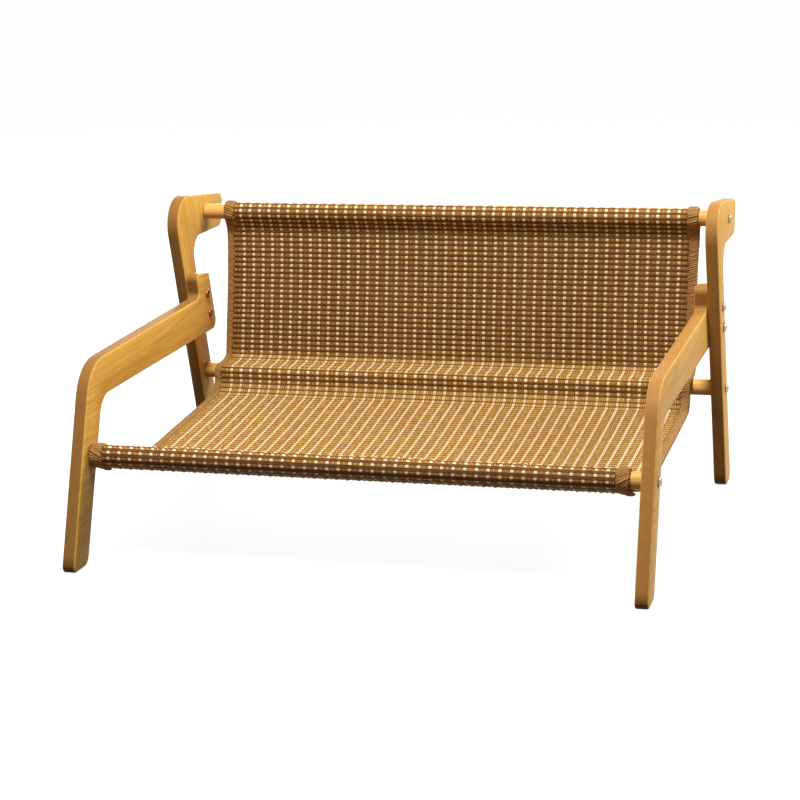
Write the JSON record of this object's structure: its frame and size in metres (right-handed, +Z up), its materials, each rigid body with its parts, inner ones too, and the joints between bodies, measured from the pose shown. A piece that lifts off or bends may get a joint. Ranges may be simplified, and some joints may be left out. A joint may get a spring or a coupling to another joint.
{
  "type": "cat sofa bed",
  "caption": "Low cat sofa: two bent-leg arm boards bolted to leaning back posts, wooden cross rails and one woven sling seat that hangs between them.",
  "frame": {"origin": "middle of the footprint at floor level", "axes": "+X along the rails, to the right as seen from the front, +Y from the front feet to the back, +Z up"},
  "size_m": [0.606, 0.4838, 0.3149],
  "materials": {
    "wood": "clear satin lacquer",
    "steel": "bright zinc",
    "brass": "bronze plated",
    "weave": "woven brown cord with cream stripes"
  },
  "bodies": {
    "root": {"left_back_post": "wood", "right_back_post": "wood", "left_arm_board": "wood", "right_arm_board": "wood", "top_rail": "wood", "middle_rail": "wood", "front_rail": "wood", "woven_sling": "weave", "top_rail_left_screw": "steel", "top_rail_right_screw": "steel", "middle_rail_left_screw": "steel", "middle_rail_right_screw": "steel", "front_rail_left_screw": "steel", "front_rail_right_screw": "steel", "top_rail_left_insert": "brass", "top_rail_right_insert": "brass", "middle_rail_left_insert": "brass", "middle_rail_right_insert": "brass", "front_rail_left_insert": "brass", "front_rail_right_insert": "brass", "left_upper_arm_bolt": "steel", "left_lower_arm_bolt": "steel", "right_upper_arm_bolt": "steel", "right_lower_arm_bolt": "steel", "left_upper_sleeve_nut": "brass", "left_lower_sleeve_nut": "brass", "right_upper_sleeve_nut": "brass", "right_lower_sleeve_nut": "brass"}
  },
  "joints": []
}
